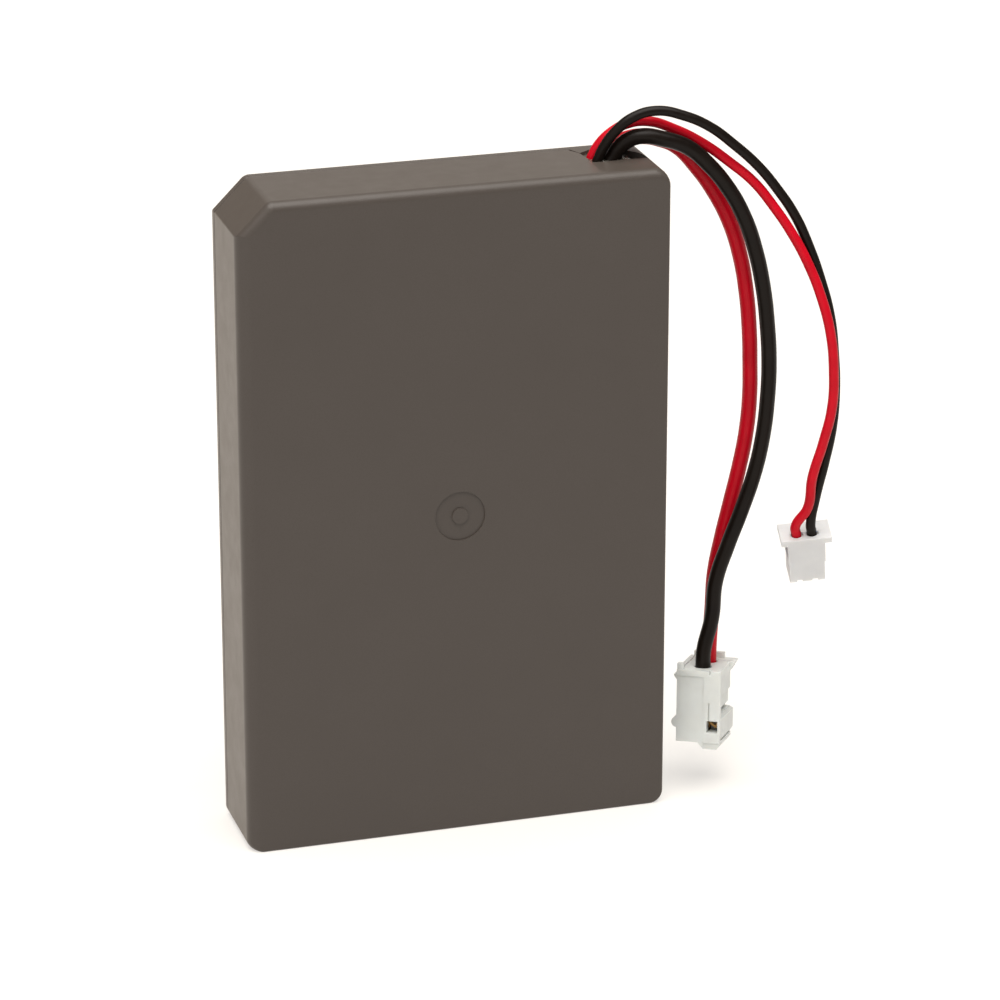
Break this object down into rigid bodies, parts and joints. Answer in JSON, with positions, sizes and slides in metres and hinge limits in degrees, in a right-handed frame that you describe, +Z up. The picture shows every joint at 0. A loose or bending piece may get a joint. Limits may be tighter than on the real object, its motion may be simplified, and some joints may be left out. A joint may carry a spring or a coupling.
{
  "type": "rechargeable battery pack",
  "caption": "Flat rectangular battery pack with a keyed cut corner in a two-part moulded case, with two pairs of short flexible leads ending in white crimp plugs.",
  "frame": {"origin": "middle of the case's bottom face, on which it stands", "axes": "+Z up along the case's height, towards the edge the leads leave from; +X to the right seen from the front, towards the leads; -Y is the front face with the round mould mark"},
  "size_m": [0.049, 0.0096, 0.0574],
  "materials": {
    "case_plastic": "fine even mould texture, dull satin",
    "label_film": "matt printed film without any print",
    "pouch_foil": "matt laminate over aluminium foil",
    "electrode": "dark coated foil, dull",
    "tab_aluminium": "plain rolled aluminium strip",
    "nickel": "nickel-plated strip, satin",
    "tab_film": "thin translucent sealing film",
    "foam": "soft closed-cell foam",
    "tape": "double-sided tape",
    "circuit_board": "solder-masked glass laminate",
    "insulating_film": "amber insulating film",
    "chip_resin": "black moulding resin with tinned ends",
    "chip_ceramic": "brown ceramic with tinned ends",
    "solder": "bright tin solder",
    "clear_sealant": "translucent off-white silicone",
    "red_pvc": "smooth soft PVC, semi-gloss",
    "black_pvc": "smooth soft PVC, semi-gloss",
    "ivory_nylon": "moulded nylon, warm ivory, satin",
    "white_nylon": "moulded nylon, natural white, slightly translucent",
    "tinned_bronze": "tin-plated phosphor bronze"
  },
  "bodies": {
    "root": {"front_shell": "case_plastic", "rear_cover": "case_plastic", "rear_label": "label_film", "pouch_cup": "pouch_foil", "pouch_back_sheet": "pouch_foil", "electrode_stack": "electrode", "positive_tab": "tab_aluminium", "negative_tab": "nickel", "tab_sealant": "tab_film", "cell_front_pad": "foam", "cell_rear_tapes": "tape", "protection_board": "circuit_board", "board_pad": "foam", "board_insulator": "insulating_film", "weld_plates": "nickel", "protection_ic": "chip_resin", "power_switch": "chip_resin", "chip_resistors": "chip_resin", "chip_capacitor": "chip_ceramic", "solder_joints": "solder", "exit_sealant": "clear_sealant", "main_tail_red": "red_pvc", "main_tail_black": "black_pvc", "second_tail_red": "red_pvc", "second_tail_black": "black_pvc", "main_lead_red": "red_pvc", "main_lead_black": "black_pvc", "second_lead_red": "red_pvc", "second_lead_black": "black_pvc", "main_plug_housing": "ivory_nylon", "main_plug_contacts": "tinned_bronze", "second_plug_housing": "white_nylon", "second_plug_contacts": "tinned_bronze"}
  },
  "joints": []
}
